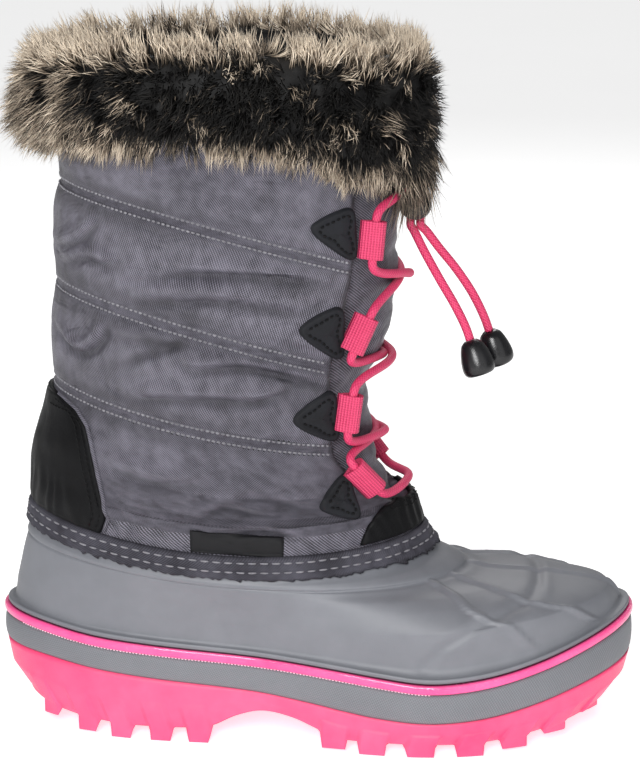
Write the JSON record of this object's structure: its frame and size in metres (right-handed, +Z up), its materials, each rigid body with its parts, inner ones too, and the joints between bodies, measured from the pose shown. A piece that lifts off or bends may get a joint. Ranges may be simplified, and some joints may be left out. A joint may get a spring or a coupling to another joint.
{
  "type": "snow boot",
  "caption": "Child's right snow boot with a ribbed rubber foot, lugged sole, quilted nylon shaft, front lacing with a cord lock and a deep fur collar; stands empty.",
  "frame": {"origin": "on the floor, at the middle of the heel's flat tread block, the mount heel_rest", "axes": "+X from heel to toe, +Y towards the inner side of the foot, +Z up the shaft"},
  "size_m": [0.242, 0.1206, 0.2672],
  "materials": {
    "pink_rubber": "satin moulded rubber, hot pink",
    "grey_rubber": "satin moulded rubber, mid grey",
    "band_rubber": "finely textured rubber, grey",
    "felt": "felt footbed, dark grey",
    "nylon": "padded woven nylon, purple grey",
    "binding_cloth": "woven binding, dark grey, light stitches",
    "leather": "grained leather, near black",
    "woven_label": "woven label, black and blank",
    "webbing": "ribbed webbing, pink",
    "cord": "round woven elastic cord, pink",
    "black_plastic": "glossy moulded plastic, black",
    "fur": "deep false fur, black with cream tips"
  },
  "bodies": {
    "root": {"outsole": "pink_rubber", "piping": "pink_rubber", "midsole_band": "band_rubber", "rubber_shell": "grey_rubber", "insole": "felt", "shaft": "nylon", "tongue_gusset": "nylon", "binding": "binding_cloth", "heel_counter": "leather", "vamp_patch": "leather", "side_label": "woven_label", "lace": "cord", "lace_end_outer": "cord", "lace_end_inner": "cord", "cord_end_outer": "black_plastic", "cord_end_inner": "black_plastic", "cord_lock": "black_plastic", "lock_button": "black_plastic", "fur_collar": "fur", "webbing_loop_outer_1": "webbing", "webbing_loop_outer_2": "webbing", "webbing_loop_outer_3": "webbing", "webbing_loop_outer_4": "webbing", "webbing_loop_inner_1": "webbing", "webbing_loop_inner_2": "webbing", "webbing_loop_inner_3": "webbing", "webbing_loop_inner_4": "webbing", "lace_patch_outer_1": "leather", "lace_patch_outer_2": "leather", "lace_patch_outer_3": "leather", "lace_patch_outer_4": "leather", "lace_patch_inner_1": "leather", "lace_patch_inner_2": "leather", "lace_patch_inner_3": "leather", "lace_patch_inner_4": "leather"}
  },
  "joints": []
}
